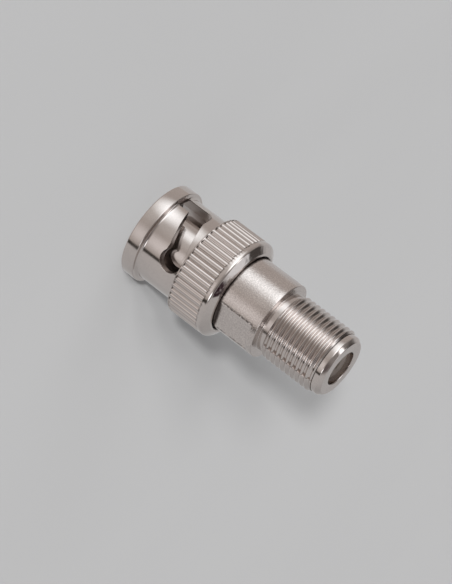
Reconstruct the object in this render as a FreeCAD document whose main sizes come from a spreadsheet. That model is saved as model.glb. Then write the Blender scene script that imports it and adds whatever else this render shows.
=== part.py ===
import FreeCAD, Part
import math
import os

import Sketcher

# A coaxial adapter: a bayonet plug with a spinning coupling shell at one end and a
# threaded socket at the other. Z runs along the axis towards the threaded socket, and
# Z = 0 is the front face of the coupling shell's flange. Millimetres and degrees.

doc = FreeCAD.newDocument("coaxial_adapter")

# Driving dimensions
SIZES = [
    # Coupling shell, outside
    ("bore_diameter", 9.80, "shell bore over the mating barrel"),
    ("tube_wall", 1.195, "wall of the slotted tube"),
    ("flange_height", 0.705, "flange above the tube"),
    ("flange_thickness", 1.95, "flange along the axis"),
    ("flange_cove", 0.32, "hollow slope between flange and tube"),
    ("flange_chamfer", 0.15, "chamfer of the flange's two rims"),
    ("tube_length", 6.28, "flange to knurled grip"),
    ("rim_width", 0.52, "plain rim in front of the ribs"),
    ("rib_length", 4.35, "knurled ribs"),
    ("rear_band", 0.90, "plain band behind the ribs"),
    ("rear_drop", 0.52, "fall of the domed rear face"),
    ("grip_chamfer", 0.18, "chamfer of the grip's two rims"),
    ("rib_count", 48, "ribs round the grip"),
    ("rib_depth", 0.30, "height of a rib"),
    ("mouth_chamfer", 0.35, "chamfer at the shell's mouth"),
    # Coupling shell, bayonet slots
    ("slot_width", 2.50, "width of the slots"),
    ("guide_depth", 0.70, "entry guide into the bore's wall"),
    ("window_setback", 0.05, "window's front end behind the flange"),
    ("cam_depth", 5.11, "stud centre at the foot of the ramp"),
    ("cam_lift", 1.20, "rise of the ramp"),
    ("cam_delay", 14.5, "turn from the window to the ramp"),
    ("cam_turn", 45.0, "turn of the ramp"),
    ("dwell_turn", 16.8, "turn from the ramp to the detent"),
    ("detent_diameter", 3.20, "locking hole"),
    # Coupling shell, spring chamber
    ("chamber_wall", 0.52, "wall between the ribs and the spring chamber"),
    ("lip_width", 0.76, "rear lip over the washer"),
    ("lip_thickness", 0.60, "rear lip along the axis"),
    ("shell_turn", -105.8, "shell's angle to the wrench flats"),
    # Axial spring
    ("washer_thickness", 0.25, "thrust washer"),
    ("spring_height", 0.85, "wave spring at rest"),
    ("spring_strip", 0.22, "thickness of the wave spring's strip"),
    ("spring_waves", 3, "waves round the spring"),
    ("play", 0.03, "axial play of the shell and its washers"),
    ("running_clearance", 0.10, "radial clearance of the shell on the body"),
    # Adapter body
    ("body_diameter", 10.97, "round body behind the shell"),
    ("flange_seat", 0.90, "thickness of the body's inner flange"),
    ("flat_depth", 0.485, "depth of the two wrench flats, 10 mm across"),
    ("flat_gap", 0.08, "shell's rear edge to the flats"),
    ("flat_length", 5.25, "length of the flats"),
    ("collar_length", 0.90, "round collar behind the flats"),
    ("collar_chamfer", 0.12, "chamfer of that collar"),
    ("relief_length", 1.00, "relief in front of the thread"),
    ("thread_diameter", 9.45, "crest of the 3/8-32 thread"),
    ("thread_depth", 0.43, "crest to root of the thread"),
    ("thread_length", 7.90, "threaded length"),
    ("thread_chamfer", 0.30, "lead-in at both ends of the thread"),
    ("groove_width", 0.14, "groove between the thread and the nose"),
    ("nose_diameter", 8.80, "smooth nose"),
    ("nose_length", 1.21, "nose along the axis"),
    ("nose_round", 0.50, "radius of the nose's rim"),
    ("port_diameter", 4.96, "socket's mouth"),
    ("port_depth", 2.00, "mouth to the insulator"),
    # Contacts and insulators
    ("gasket_thickness", 1.00, "gasket"),
    ("gasket_gap", 0.05, "gasket to the outer contact's neck"),
    ("gasket_margin", 0.15, "gasket to the shell's bore"),
    ("sleeve_bore", 7.00, "bore of the outer contact"),
    ("sleeve_wall", 0.55, "wall of the outer contact"),
    ("sleeve_reach", 9.20, "outer contact in front of the body"),
    ("sleeve_tail", 3.00, "outer contact inside the body"),
    ("sleeve_neck", 0.20, "undercut of the outer contact from the gasket back"),
    ("sleeve_chamfer", 0.20, "lead-in of the outer contact"),
    ("slit_width", 0.45, "slits in the outer contact"),
    ("slit_length", 1.55, "length of those slits"),
    ("slit_turn", -83.3, "angle of the first slit"),
    ("cavity_depth", 5.30, "outer contact's mouth to the front insulator"),
    ("insulator_diameter", 6.00, "rear insulator"),
    ("pin_diameter", 1.35, "centre pin"),
    ("pin_setback", 0.40, "pin's tip behind the outer contact's mouth"),
    ("pin_taper", 0.90, "length of the pin's tapered tip"),
    ("pin_tip", 0.50, "diameter of the pin's tip"),
    ("contact_diameter", 2.10, "stem of the centre contact"),
    ("stop_diameter", 3.00, "collar that locks the contact"),
    ("stop_length", 1.60, "length of that collar"),
    ("socket_bore", 1.00, "socket for a centre wire"),
    ("socket_depth", 5.20, "depth of that socket"),
    ("socket_slit", 0.24, "width of the socket's slits"),
    ("socket_freedom", 0.12, "room round the socket for its leaves"),
    ("port_wall", 0.80, "insulator in front of the socket"),
    ("wire_hole", 1.40, "hole for the centre wire"),
    ("wire_chamfer", 0.25, "countersink of that hole"),
]

sheet = doc.addObject("Spreadsheet::Sheet", "sizes")
for row, (alias, value, meaning) in enumerate(SIZES, start=1):
    sheet.set("A%d" % row, meaning)
    sheet.set("B%d" % row, str(value))
    sheet.setAlias("B%d" % row, alias)
doc.recompute()


def named(text):
    """Turns the bare names in an expression into cells of the sheet."""
    for alias in sorted((name for name, _, _ in SIZES), key=len, reverse=True):
        text = text.replace("<%s>" % alias, "sizes.%s" % alias)
    return text


# Places along the axis, each measured from the shell's front face
GRIP_START = "(<flange_thickness> + <tube_length>)"
RIBS_START = "(%s + <rim_width>)" % GRIP_START
RIBS_END = "(%s + <rib_length>)" % RIBS_START
BAND_END = "(%s + <rear_band>)" % RIBS_END
SHELL_END = "(%s + <rear_drop>)" % BAND_END
LIP_FACE = "(%s - <lip_thickness>)" % SHELL_END
WASHER_REAR = "(%s - <play>)" % LIP_FACE
WASHER_FRONT = "(%s - <washer_thickness>)" % WASHER_REAR
FLANGE_REAR = "(%s - <spring_height>)" % WASHER_FRONT
SEAT = "(%s - <flange_seat>)" % FLANGE_REAR
CHAMBER_FRONT = "(%s - <play>)" % SEAT
FLATS_START = "(%s + <flat_gap>)" % SHELL_END
FLATS_END = "(%s + <flat_length>)" % FLATS_START
COLLAR_END = "(%s + <collar_length>)" % FLATS_END
THREAD_START = "(%s + <relief_length>)" % COLLAR_END
THREAD_END = "(%s + <thread_length>)" % THREAD_START
NOSE_START = "(%s + <groove_width>)" % THREAD_END
NOSE_END = "(%s + <nose_length>)" % NOSE_START
PORT_FLOOR = "(%s - <port_depth>)" % NOSE_END
SLEEVE_FRONT = "(%s - <sleeve_reach>)" % SEAT
SLEEVE_REAR = "(%s + <sleeve_tail>)" % SEAT
GASKET_FRONT = "(%s - <gasket_thickness>)" % SEAT
CAVITY_FLOOR = "(%s + <cavity_depth>)" % SLEEVE_FRONT
STOP_FRONT = "(%s - <stop_length> / 2)" % SLEEVE_REAR
STOP_REAR = "(%s + <stop_length> / 2)" % SLEEVE_REAR
SOCKET_END = "(%s - <port_wall>)" % PORT_FLOOR
SOCKET_FLOOR = "(%s - <socket_depth>)" % SOCKET_END

# Radii that follow from the driving dimensions
TUBE = "(<bore_diameter> / 2 + <tube_wall>)"
FLANGE = "(%s + <flange_height>)" % TUBE
LIP_BORE = "(<body_diameter> / 2 + <running_clearance>)"
CHAMBER = "(%s + <lip_width>)" % LIP_BORE
GRIP = "(%s + <chamber_wall> + <rib_depth>)" % CHAMBER
SEAT_RIM = "(%s - <running_clearance>)" % CHAMBER
SLEEVE = "(<sleeve_bore> / 2 + <sleeve_wall>)"
NECK = "(%s - <sleeve_neck>)" % SLEEVE
THREAD_ROOT = "(<thread_diameter> / 2 - <thread_depth>)"
SOCKET_ROOM = "(<contact_diameter> / 2 + <socket_freedom>)"


def number(expression):
    """The value of an expression at this moment."""
    value = sheet.evalExpression(named(expression))
    return float(getattr(value, "Value", value))


def origin_plane(body, role):
    """The body's own origin plane with this role."""
    for feature in body.Origin.OriginFeatures:
        if feature.Role == role:
            return feature
    raise ValueError(role)


def new_body(name):
    """An empty body whose label names the piece."""
    body = doc.addObject("PartDesign::Body", name)
    body.Label = name
    return body


def new_sketch(body, name, role, turn="0", lift="0"):
    """A sketch on an origin plane, turned about Z or lifted off the plane."""
    sketch = body.newObject("Sketcher::SketchObject", name)
    sketch.AttachmentSupport = [(origin_plane(body, role), "")]
    sketch.MapMode = "FlatFace"
    if turn != "0":
        upright = FreeCAD.Vector(0, 1, 0)
        sketch.AttachmentOffset = FreeCAD.Placement(
            FreeCAD.Vector(0, 0, 0), FreeCAD.Rotation(upright, number(turn)))
        sketch.setExpression("AttachmentOffset.Rotation.Angle", named(turn))
    if lift != "0":
        sketch.AttachmentOffset = FreeCAD.Placement(
            FreeCAD.Vector(0, 0, number(lift)), FreeCAD.Rotation())
        sketch.setExpression("AttachmentOffset.Base.z", named(lift))
    return sketch


def fix_point(sketch, geometry, end, across, along):
    """Ties a point of a sketch to two expressions measured from the origin."""
    for kind, expression, axis in (("DistanceX", across, -2), ("DistanceY", along, -1)):
        if expression == "0":
            sketch.addConstraint(Sketcher.Constraint("PointOnObject", geometry, end, axis))
            continue
        value = number(expression)
        index = sketch.addConstraint(
            Sketcher.Constraint(kind, -1, 1, geometry, end, value))
        sketch.setExpression("Constraints[%d]" % index, named(expression))


def closed_outline(sketch, points):
    """A closed outline of straight lines through points given as expressions."""
    places = [FreeCAD.Vector(number(across), number(along), 0) for across, along in points]
    lines = []
    for start, end in zip(places, places[1:] + places[:1]):
        lines.append(sketch.addGeometry(Part.LineSegment(start, end), False))
    for line, following in zip(lines, lines[1:] + lines[:1]):
        sketch.addConstraint(Sketcher.Constraint("Coincident", line, 2, following, 1))
    for line, (across, along) in zip(lines, points):
        fix_point(sketch, line, 1, across, along)
    return sketch


def round_outline(sketch, across, along, diameter):
    """A circle whose centre and diameter are expressions."""
    centre = FreeCAD.Vector(number(across), number(along), 0)
    circle = sketch.addGeometry(
        Part.Circle(centre, FreeCAD.Vector(0, 0, 1), number(diameter) / 2), False)
    fix_point(sketch, circle, 3, across, along)
    index = sketch.addConstraint(Sketcher.Constraint("Diameter", circle, number(diameter)))
    sketch.setExpression("Constraints[%d]" % index, named(diameter))
    return sketch


def turned(body, name, points):
    """A full revolution about Z of an outline of radius and height."""
    sketch = closed_outline(new_sketch(body, name + "_outline", "XZ_Plane"), points)
    solid = body.newObject("PartDesign::Revolution", name)
    solid.Profile = sketch
    solid.ReferenceAxis = (sketch, ["V_Axis"])
    solid.Angle = 360
    doc.recompute()
    return solid


def rims(feature, radius, height):
    """Names of the feature's circular edges of one radius at one height."""
    wanted = []
    for index, edge in enumerate(feature.Shape.Edges, start=1):
        curve = edge.Curve
        if not isinstance(curve, Part.Circle):
            continue
        if abs(curve.Radius - radius) < 1e-4 and abs(curve.Center.z - height) < 1e-4:
            wanted.append("Edge%d" % index)
    return wanted


def rounded(body, name, base, rim_radius, height, radius):
    """Rounds the rim at a radius and height given as expressions."""
    fillet = body.newObject("PartDesign::Fillet", name)
    fillet.Base = (base, rims(base, number(rim_radius), number(height)))
    fillet.Radius = number(radius)
    fillet.setExpression("Radius", named(radius))
    doc.recompute()
    return fillet


def pocket(body, name, sketch, length, other_way=False, both_ways=False):
    """Cuts a sketch's outline out of the body, and checks that it cut something."""
    before = body.Shape.Volume
    cut = body.newObject("PartDesign::Pocket", name)
    cut.Profile = sketch
    cut.Type = 0
    cut.Length = number(length)
    cut.setExpression("Length", named(length))
    cut.Reversed = other_way
    cut.Midplane = both_ways
    doc.recompute()
    if cut.Shape.Volume > before - 1e-6:
        raise RuntimeError(name + " cuts nothing")
    return cut


def repeated(body, name, features, count):
    """Repeats features evenly round the axis."""
    pattern = body.newObject("PartDesign::PolarPattern", name)
    pattern.Originals = features
    for axis in body.Origin.OriginFeatures:
        if axis.Role == "Z_Axis":
            pattern.Axis = (axis, [""])
    pattern.Angle = 360
    pattern.Occurrences = int(number(count))
    pattern.setExpression("Occurrences", named(count))
    body.Tip = pattern
    doc.recompute()
    return pattern


def ring(name, inner, outer, bottom, top):
    """A plain ring between two radii and two heights."""
    body = new_body(name)
    turned(body, name + "_solid",
           [(inner, bottom), (outer, bottom), (outer, top), (inner, top)])
    return body


def make_coupling_shell():
    """The shell: flange, slotted tube, ribbed grip and the lip round the spring."""
    body = new_body("coupling_shell")
    bore = "(<bore_diameter> / 2)"
    grip_edge = "min(<grip_chamfer>; (%s - %s) / 2)" % (GRIP, TUBE)
    turned(body, "shell_blank", [
        (bore + " + <mouth_chamfer>", "0"),
        ("(%s - <flange_chamfer>)" % FLANGE, "0"),
        (FLANGE, "<flange_chamfer>"),
        (FLANGE, "(<flange_thickness> - <flange_chamfer>)"),
        ("(%s - <flange_chamfer>)" % FLANGE, "<flange_thickness>"),
        ("(%s + <flange_cove>)" % TUBE, "<flange_thickness>"),
        (TUBE, "(<flange_thickness> + <flange_cove>)"),
        (TUBE, GRIP_START),
        ("(%s - %s)" % (GRIP, grip_edge), GRIP_START),
        (GRIP, "(%s + %s)" % (GRIP_START, grip_edge)),
        (GRIP, "(%s - %s)" % (BAND_END, grip_edge)),
        ("(%s - %s)" % (GRIP, grip_edge), BAND_END),
        (LIP_BORE, SHELL_END),
        (LIP_BORE, LIP_FACE),
        (CHAMBER, LIP_FACE),
        (CHAMBER, CHAMBER_FRONT),
        (bore, CHAMBER_FRONT),
        (bore, "<mouth_chamfer>"),
    ])

    # Straight guides broached from the mouth to the windows
    half = "(<slot_width> / 2)"
    guide_top = "(%s + <guide_depth>)" % bore
    guide_foot = "(%s - <mouth_chamfer>)" % bore
    guide = closed_outline(new_sketch(body, "guide_outline", "XY_Plane"), [
        (guide_foot, "-" + half),
        (guide_top, "-" + half),
        (guide_top, half),
        (guide_foot, half),
    ])
    guide_cut = pocket(body, "entry_guide", guide, "<cam_depth>", other_way=True)

    # Window milled through the wall, round at the ramp's foot
    window = closed_outline(new_sketch(body, "window_outline", "YZ_Plane"), [
        ("-" + half, "(<flange_thickness> + <window_setback>)"),
        (half, "(<flange_thickness> + <window_setback>)"),
        (half, "<cam_depth>"),
        ("-" + half, "<cam_depth>"),
    ])
    window_cut = pocket(body, "window", window, FLANGE + " + 1", other_way=True)
    foot = round_outline(new_sketch(body, "foot_outline", "YZ_Plane"),
                         "0", "<cam_depth>", "<slot_width>")
    foot_cut = pocket(body, "ramp_foot", foot, FLANGE + " + 1", other_way=True)

    # Cam ramp, a slot that climbs round the tube
    slope = "atan(<cam_lift> / (%s * <cam_turn> * pi / 180))" % TUBE
    rise = "(<slot_width> / 2 / cos(%s))" % slope
    inside = "(%s - <mouth_chamfer>)" % bore
    outside = "(%s + 1)" % TUBE
    before = body.Shape.Volume
    ramp_profile = closed_outline(new_sketch(body, "ramp_outline", "XZ_Plane", "<cam_delay>"), [
        (inside, "(<cam_depth> - %s)" % rise),
        (outside, "(<cam_depth> - %s)" % rise),
        (outside, "(<cam_depth> + %s)" % rise),
        (inside, "(<cam_depth> + %s)" % rise),
    ])
    ramp = body.newObject("PartDesign::SubtractiveHelix", "cam_ramp")
    ramp.Profile = ramp_profile
    ramp.ReferenceAxis = (ramp_profile, ["V_Axis"])
    ramp.Mode = 0
    ramp.Pitch = number("<cam_lift> * 360 / <cam_turn>")
    ramp.setExpression("Pitch", named("<cam_lift> * 360 / <cam_turn>"))
    ramp.Height = number("<cam_lift>")
    ramp.setExpression("Height", named("<cam_lift>"))
    doc.recompute()
    if ramp.Shape.Volume > before - 1e-6:
        raise RuntimeError("the cam ramp cuts nothing")

    # Slot between the window and the ramp, and from the ramp to the detent
    level = "(<cam_depth> + <cam_lift>)"
    cuts = [guide_cut, window_cut, foot_cut, ramp]
    for name, start, sweep, centre in (
            ("ramp_entry", "0", "<cam_delay>", "<cam_depth>"),
            ("dwell", "(<cam_delay> + <cam_turn>)", "<dwell_turn>", level)):
        before = body.Shape.Volume
        profile = closed_outline(new_sketch(body, name + "_outline", "XZ_Plane", start), [
            (inside, "(%s - %s)" % (centre, rise)),
            (outside, "(%s - %s)" % (centre, rise)),
            (outside, "(%s + %s)" % (centre, rise)),
            (inside, "(%s + %s)" % (centre, rise)),
        ])
        groove = body.newObject("PartDesign::Groove", name)
        groove.Profile = profile
        groove.ReferenceAxis = (profile, ["V_Axis"])
        groove.Angle = number(sweep)
        groove.setExpression("Angle", named(sweep))
        doc.recompute()
        if groove.Shape.Volume > before - 1e-6:
            raise RuntimeError(name + " cuts nothing")
        cuts.append(groove)

    # Round detent that the stud drops into
    last = "(<cam_delay> + <cam_turn> + <dwell_turn>)"
    detent = round_outline(new_sketch(body, "detent_outline", "YZ_Plane", last),
                           "0", level, "<detent_diameter>")
    cuts.append(pocket(body, "detent", detent, FLANGE + " + 1", other_way=True))
    repeated(body, "both_cams", cuts, "2")

    # Straight ribs of the grip
    root = "(%s - <rib_depth>)" % GRIP
    mouth = "(<rib_depth> * 2)"
    rib_gap = closed_outline(
        new_sketch(body, "rib_gap_outline", "XY_Plane", lift=RIBS_START), [
            (root, "0"),
            ("(%s + <rib_depth>)" % GRIP, "-" + mouth),
            ("(%s + <rib_depth>)" % GRIP, mouth),
        ])
    gap_cut = pocket(body, "rib_gap", rib_gap, "<rib_length>", other_way=True)
    repeated(body, "ribs", [gap_cut], "<rib_count>")
    turn = FreeCAD.Rotation(FreeCAD.Vector(0, 0, 1), number("<shell_turn>"))
    body.Placement = FreeCAD.Placement(FreeCAD.Vector(0, 0, 0), turn)
    body.setExpression("Placement.Rotation.Angle", named("<shell_turn>"))
    return body


def make_adapter_body():
    """The turned body: inner flange, wrench flats, thread and nose round the socket."""
    body = new_body("adapter_body")
    round_body = "(<body_diameter> / 2)"
    crest = "(<thread_diameter> / 2)"
    nose = "(<nose_diameter> / 2)"
    insulator = "(<insulator_diameter> / 2)"
    port = "(<port_diameter> / 2)"
    solid = turned(body, "body_blank", [
        (NECK, SEAT),
        (SEAT_RIM, SEAT),
        (SEAT_RIM, FLANGE_REAR),
        (round_body, FLANGE_REAR),
        (round_body, "(%s - <collar_chamfer>)" % COLLAR_END),
        ("(%s - <collar_chamfer>)" % round_body, COLLAR_END),
        (THREAD_ROOT, COLLAR_END),
        (THREAD_ROOT, THREAD_START),
        ("(%s - <thread_chamfer>)" % crest, THREAD_START),
        (crest, "(%s + <thread_chamfer>)" % THREAD_START),
        (crest, "(%s - <thread_chamfer>)" % THREAD_END),
        ("(%s - <thread_chamfer>)" % crest, THREAD_END),
        (THREAD_ROOT, THREAD_END),
        (THREAD_ROOT, NOSE_START),
        (nose, NOSE_START),
        (nose, NOSE_END),
        (port, NOSE_END),
        (port, PORT_FLOOR),
        (insulator, PORT_FLOOR),
        (insulator, SLEEVE_REAR),
        (NECK, SLEEVE_REAR),
    ])
    rounded(body, "nose_rim", solid, nose, NOSE_END, "<nose_round>")
    wide = "<body_diameter>"
    flat = "(%s - <flat_depth>)" % round_body
    outline = closed_outline(new_sketch(body, "flat_outline", "XY_Plane", lift=FLATS_START), [
        (flat, "-" + wide),
        (wide, "-" + wide),
        (wide, wide),
        (flat, wide),
    ])
    cut = pocket(body, "wrench_flat", outline, "<flat_length>", other_way=True)
    repeated(body, "wrench_flats", [cut], "2")
    return body


def make_outer_contact():
    """The sleeve that enters the mating socket, with four short slits at its mouth."""
    body = new_body("outer_contact")
    inner = "(<sleeve_bore> / 2)"
    turned(body, "sleeve_blank", [
        (inner, SLEEVE_FRONT),
        ("(%s - <sleeve_chamfer>)" % SLEEVE, SLEEVE_FRONT),
        (SLEEVE, "(%s + <sleeve_chamfer>)" % SLEEVE_FRONT),
        (SLEEVE, GASKET_FRONT),
        (NECK, GASKET_FRONT),
        (NECK, SLEEVE_REAR),
        (inner, SLEEVE_REAR),
    ])
    half = "(<slit_width> / 2)"
    slit = closed_outline(new_sketch(body, "slit_outline", "YZ_Plane", "<slit_turn>"), [
        ("-" + half, "(%s - <sleeve_chamfer>)" % SLEEVE_FRONT),
        (half, "(%s - <sleeve_chamfer>)" % SLEEVE_FRONT),
        (half, "(%s + <slit_length>)" % SLEEVE_FRONT),
        ("-" + half, "(%s + <slit_length>)" % SLEEVE_FRONT),
    ])
    cut = pocket(body, "slit", slit, SLEEVE + " + 1", other_way=True)
    repeated(body, "slits", [cut], "4")
    return body


def make_front_insulator():
    """The bush that holds the centre contact in the outer contact."""
    body = new_body("front_insulator")
    outer = "(<sleeve_bore> / 2)"
    stem = "(<contact_diameter> / 2)"
    stop = "(<stop_diameter> / 2)"
    turned(body, "front_bush", [
        (stem, CAVITY_FLOOR),
        (outer, CAVITY_FLOOR),
        (outer, SLEEVE_REAR),
        (stop, SLEEVE_REAR),
        (stop, STOP_FRONT),
        (stem, STOP_FRONT),
    ])
    return body


def make_rear_insulator():
    """The bush behind it, up to the floor of the threaded socket."""
    body = new_body("rear_insulator")
    outer = "(<insulator_diameter> / 2)"
    stem = "(<contact_diameter> / 2)"
    stop = "(<stop_diameter> / 2)"
    wire = "(<wire_hole> / 2)"
    turned(body, "rear_bush", [
        (stop, SLEEVE_REAR),
        (outer, SLEEVE_REAR),
        (outer, PORT_FLOOR),
        ("(%s + <wire_chamfer>)" % wire, PORT_FLOOR),
        (wire, "(%s - <wire_chamfer>)" % PORT_FLOOR),
        (wire, SOCKET_END),
        (SOCKET_ROOM, SOCKET_END),
        (SOCKET_ROOM, SOCKET_FLOOR),
        (stem, SOCKET_FLOOR),
        (stem, STOP_REAR),
        (stop, STOP_REAR),
    ])
    return body


def make_centre_contact():
    """Tapered pin, locking collar and slit socket turned from one rod."""
    body = new_body("centre_contact")
    tip = "(%s + <pin_setback>)" % SLEEVE_FRONT
    stem = "(<contact_diameter> / 2)"
    pin = "(<pin_diameter> / 2)"
    stop = "(<stop_diameter> / 2)"
    socket = "(<socket_bore> / 2)"
    turned(body, "contact_blank", [
        ("0", tip),
        ("(<pin_tip> / 2)", tip),
        (pin, "(%s + <pin_taper>)" % tip),
        (pin, CAVITY_FLOOR),
        (stem, CAVITY_FLOOR),
        (stem, STOP_FRONT),
        (stop, STOP_FRONT),
        (stop, STOP_REAR),
        (stem, STOP_REAR),
        (stem, SOCKET_END),
        (socket, SOCKET_END),
        (socket, SOCKET_FLOOR),
        ("0", SOCKET_FLOOR),
    ])
    half = "(<socket_slit> / 2)"
    slit = closed_outline(new_sketch(body, "socket_slit_outline", "YZ_Plane"), [
        ("-" + half, "(%s + <socket_bore>)" % SOCKET_FLOOR),
        (half, "(%s + <socket_bore>)" % SOCKET_FLOOR),
        (half, "(%s + <port_wall>)" % SOCKET_END),
        ("-" + half, "(%s + <port_wall>)" % SOCKET_END),
    ])
    pocket(body, "socket_slits", slit, "<contact_diameter> * 2", both_ways=True)
    return body


def make_wave_spring():
    """A strip bent into waves and closed into a ring."""
    inner = number(LIP_BORE)
    outer = number(SEAT_RIM)
    bottom = number(FLANGE_REAR)
    strip = number("<spring_strip>")
    play = number("<play>")
    middle = bottom + number("<spring_height>") / 2
    swing = (number("<spring_height>") - strip) / 2 - play
    waves = int(number("<spring_waves>"))
    steps = 12 * waves
    sections = []
    for step in range(steps):
        angle = 2 * math.pi * step / steps
        height = middle + swing * math.cos(waves * angle)
        corners = []
        for radius, level in ((inner, height - strip / 2), (outer, height - strip / 2),
                              (outer, height + strip / 2), (inner, height + strip / 2)):
            corners.append(FreeCAD.Vector(
                radius * math.cos(angle), radius * math.sin(angle), level))
        sections.append(Part.makePolygon(corners + corners[:1]))
    spring = doc.addObject("Part::Feature", "wave_spring")
    spring.Label = "wave_spring"
    spring.Shape = Part.makeLoft(sections, True, True, True)
    return spring


pieces = [
    make_coupling_shell(),
    make_adapter_body(),
    make_outer_contact(),
    make_front_insulator(),
    make_rear_insulator(),
    make_centre_contact(),
    make_wave_spring(),
    ring("thrust_washer", LIP_BORE, SEAT_RIM, WASHER_FRONT, WASHER_REAR),
    ring("gasket", "(%s + <gasket_gap>)" % NECK,
         "(<bore_diameter> / 2 - <gasket_margin>)", GASKET_FRONT, SEAT),
]
doc.recompute()

for item in doc.Objects:
    if "Invalid" in item.State or "Error" in item.State:
        raise RuntimeError("%s: %s" % (item.Name, item.State))
for piece in pieces:
    if piece.Shape.isNull() or not piece.Shape.isValid():
        raise RuntimeError(piece.Label + " has no valid shape")
    if len(piece.Shape.Solids) != 1:
        raise RuntimeError("%s has %d solids" % (piece.Label, len(piece.Shape.Solids)))

os.makedirs("parts", exist_ok=True)
for piece in pieces:
    piece.Shape.exportStep("parts/%s.step" % piece.Label)
    box = piece.Shape.BoundBox
    print("%-16s volume %8.2f  z %6.2f to %6.2f  radius %5.2f"
          % (piece.Label, piece.Shape.Volume, box.ZMin, box.ZMax, box.XMax))
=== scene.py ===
# A coaxial adapter in bright nickel: slotted bayonet shell, wrench flats, threaded socket.
# It stands on a pale floor. Named lengths are millimetres, named turns are degrees.
import math

import bmesh
import bpy
from mathutils import Matrix, Vector
from mathutils import noise as hills


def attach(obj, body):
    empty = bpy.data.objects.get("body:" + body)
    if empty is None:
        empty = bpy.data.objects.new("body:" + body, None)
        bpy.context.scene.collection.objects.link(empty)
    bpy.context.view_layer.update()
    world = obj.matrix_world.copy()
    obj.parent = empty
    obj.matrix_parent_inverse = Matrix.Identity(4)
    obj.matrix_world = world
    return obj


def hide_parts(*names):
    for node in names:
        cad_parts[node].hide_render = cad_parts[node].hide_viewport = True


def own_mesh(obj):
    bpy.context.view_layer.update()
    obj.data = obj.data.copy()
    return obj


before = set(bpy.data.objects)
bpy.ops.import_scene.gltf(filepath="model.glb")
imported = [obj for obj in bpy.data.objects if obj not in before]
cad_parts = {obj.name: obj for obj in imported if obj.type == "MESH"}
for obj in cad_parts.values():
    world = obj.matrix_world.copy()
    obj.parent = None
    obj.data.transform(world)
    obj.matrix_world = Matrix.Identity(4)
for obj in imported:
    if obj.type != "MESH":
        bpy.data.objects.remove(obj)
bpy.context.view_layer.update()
MM = 0.001
TINY = 1e-6

# Coupling shell
SHELL_TURN = -105.8
BORE = 4.90
BORE_CHAMFER = 0.35
TUBE = 6.095
FLANGE = 6.80
GRIP = 7.165
FLANGE_BACK = 1.95
GRIP_FRONT = 8.23
BEVEL_ACROSS = 1.12
BEVEL_ALONG = 0.74
SHELL_BACK = 14.52
BACK_SLOPE = 0.04
LIP_BORE = 5.585
LIP_CHAMFER_ACROSS = 0.14
LIP_CHAMFER_ALONG = 0.16
LIP_FACE = 13.92
CHAMBER = 6.345
CHAMBER_FRONT = 11.86

# Ribs of the grip, with the columns of one rib's pitch
RIBS_FRONT = 8.43
RIBS_BACK = 13.10
RIB_COUNT = 48
RIB_PITCH = 360.0 / RIB_COUNT
RIB_DEPTH = 0.30
VALLEY_TRIM = 0.02
RIB_RUNOUT = 0.07
RUNOUT_STEPS = 4
RIB_COLUMNS = (-3.75, -3.2, -2.65, -2.1, -1.55, -1.05, -0.6, -0.2, 0.2,
               0.6, 1.05, 1.55, 2.1, 2.65, 3.2)

# Bayonet slots; each level of the cutter is a radius and how far its edge is grown there
SLOT_HALF = 1.25
SLOT_HALF_ALONG = 1.2887
GUIDE_DEPTH = 0.70
GUIDE_SPARE = 1.0
WINDOW_FRONT = 2.00
CAM_DEPTH = 5.11
CAM_LIFT = 1.20
CAM_DELAY = 14.5
CAM_TURN = 45.0
DWELL_TURN = 16.8
DETENT = 1.60
RAMP_TOP_START = 3.0
RAMP_FOOT_START = 1.3
SLOT_LEVELS = [(4.30, 0.03), (4.91, 0.03), (4.94, 0.0), (TUBE - 0.06, 0.0),
               (TUBE - 0.03, 0.006), (TUBE - 0.01, 0.022), (TUBE + 0.005, 0.045), (8.0, 0.045)]
WALL_STEPS = 9
ROUND_STEPS = 12
RAMP_STEPS = 48
DETENT_STEPS = 24

# Adapter body
BODY = 5.485
SEAT_RIM = 6.245
SEAT = 11.89
SEAT_BACK = 12.79
FLAT = 5.00
FLATS_FRONT = 14.60
FLATS_BACK = 19.85
FLATS_RIM = 0.05
COLLAR_BACK = 20.75
NOSE = 4.40
NOSE_FRONT = 29.72
NOSE_BACK = 31.00
NOSE_BEVEL_ACROSS = 0.44
NOSE_BEVEL_ALONG = 0.56
PORT = 2.48
PORT_FLOOR = 29.00
NECK = 3.85
SLEEVE_BACK = 14.89
INSULATOR = 3.00
EDGE_COLUMNS = (-0.7, -0.35, 0.0, 0.35, 0.7)
EDGE_GAP = 0.35

# Burrs on the edges of the flats
BURR_STEPS = 44
BURR_DEPTH = 0.11
BURR_REACH = 0.08
BURR_SWING = 1.2
BURR_LUMPS = 5.0
BURR_SIDES_APART = 9.0
BURR_LAYER = 0.3

# Thread
CREST = 4.725
ROOT = 4.295
THREAD_FRONT = 21.75
THREAD_BACK = 29.65
THREAD_LEAD = 0.30
THREAD_DEPTH = 0.32
PITCH = 25.4 / 32
THREAD_SAMPLES = 12
THREAD_COLUMNS = 330
SPARE_TURNS = 2

# Outer contact
SLEEVE = 4.05
SLEEVE_BORE = 3.50
SLEEVE_FRONT = 2.69
SLEEVE_TURN = -83.3
MOUTH_ACROSS = 0.16
MOUTH_ALONG = 0.22
SLIT_HALF = 0.225
SLIT_DEPTH = 1.55
SLIT_CUT = 6.0

# Centre contact
PIN_TIP = 3.09
PIN_POINT = 0.25
PIN_TAPER = 0.90
PIN = 0.675
STEM = 1.05
STOP = 1.50
STOP_FRONT = 14.09
STOP_BACK = 15.69
SOCKET_FLOOR = 23.00
SOCKET_BACK = 28.20
SOCKET = 0.50
SOCKET_SLIT_HALF = 0.12
SOCKET_WEB = 1.0
SOCKET_CUT = 4.0
AXIS = 0.002

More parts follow.
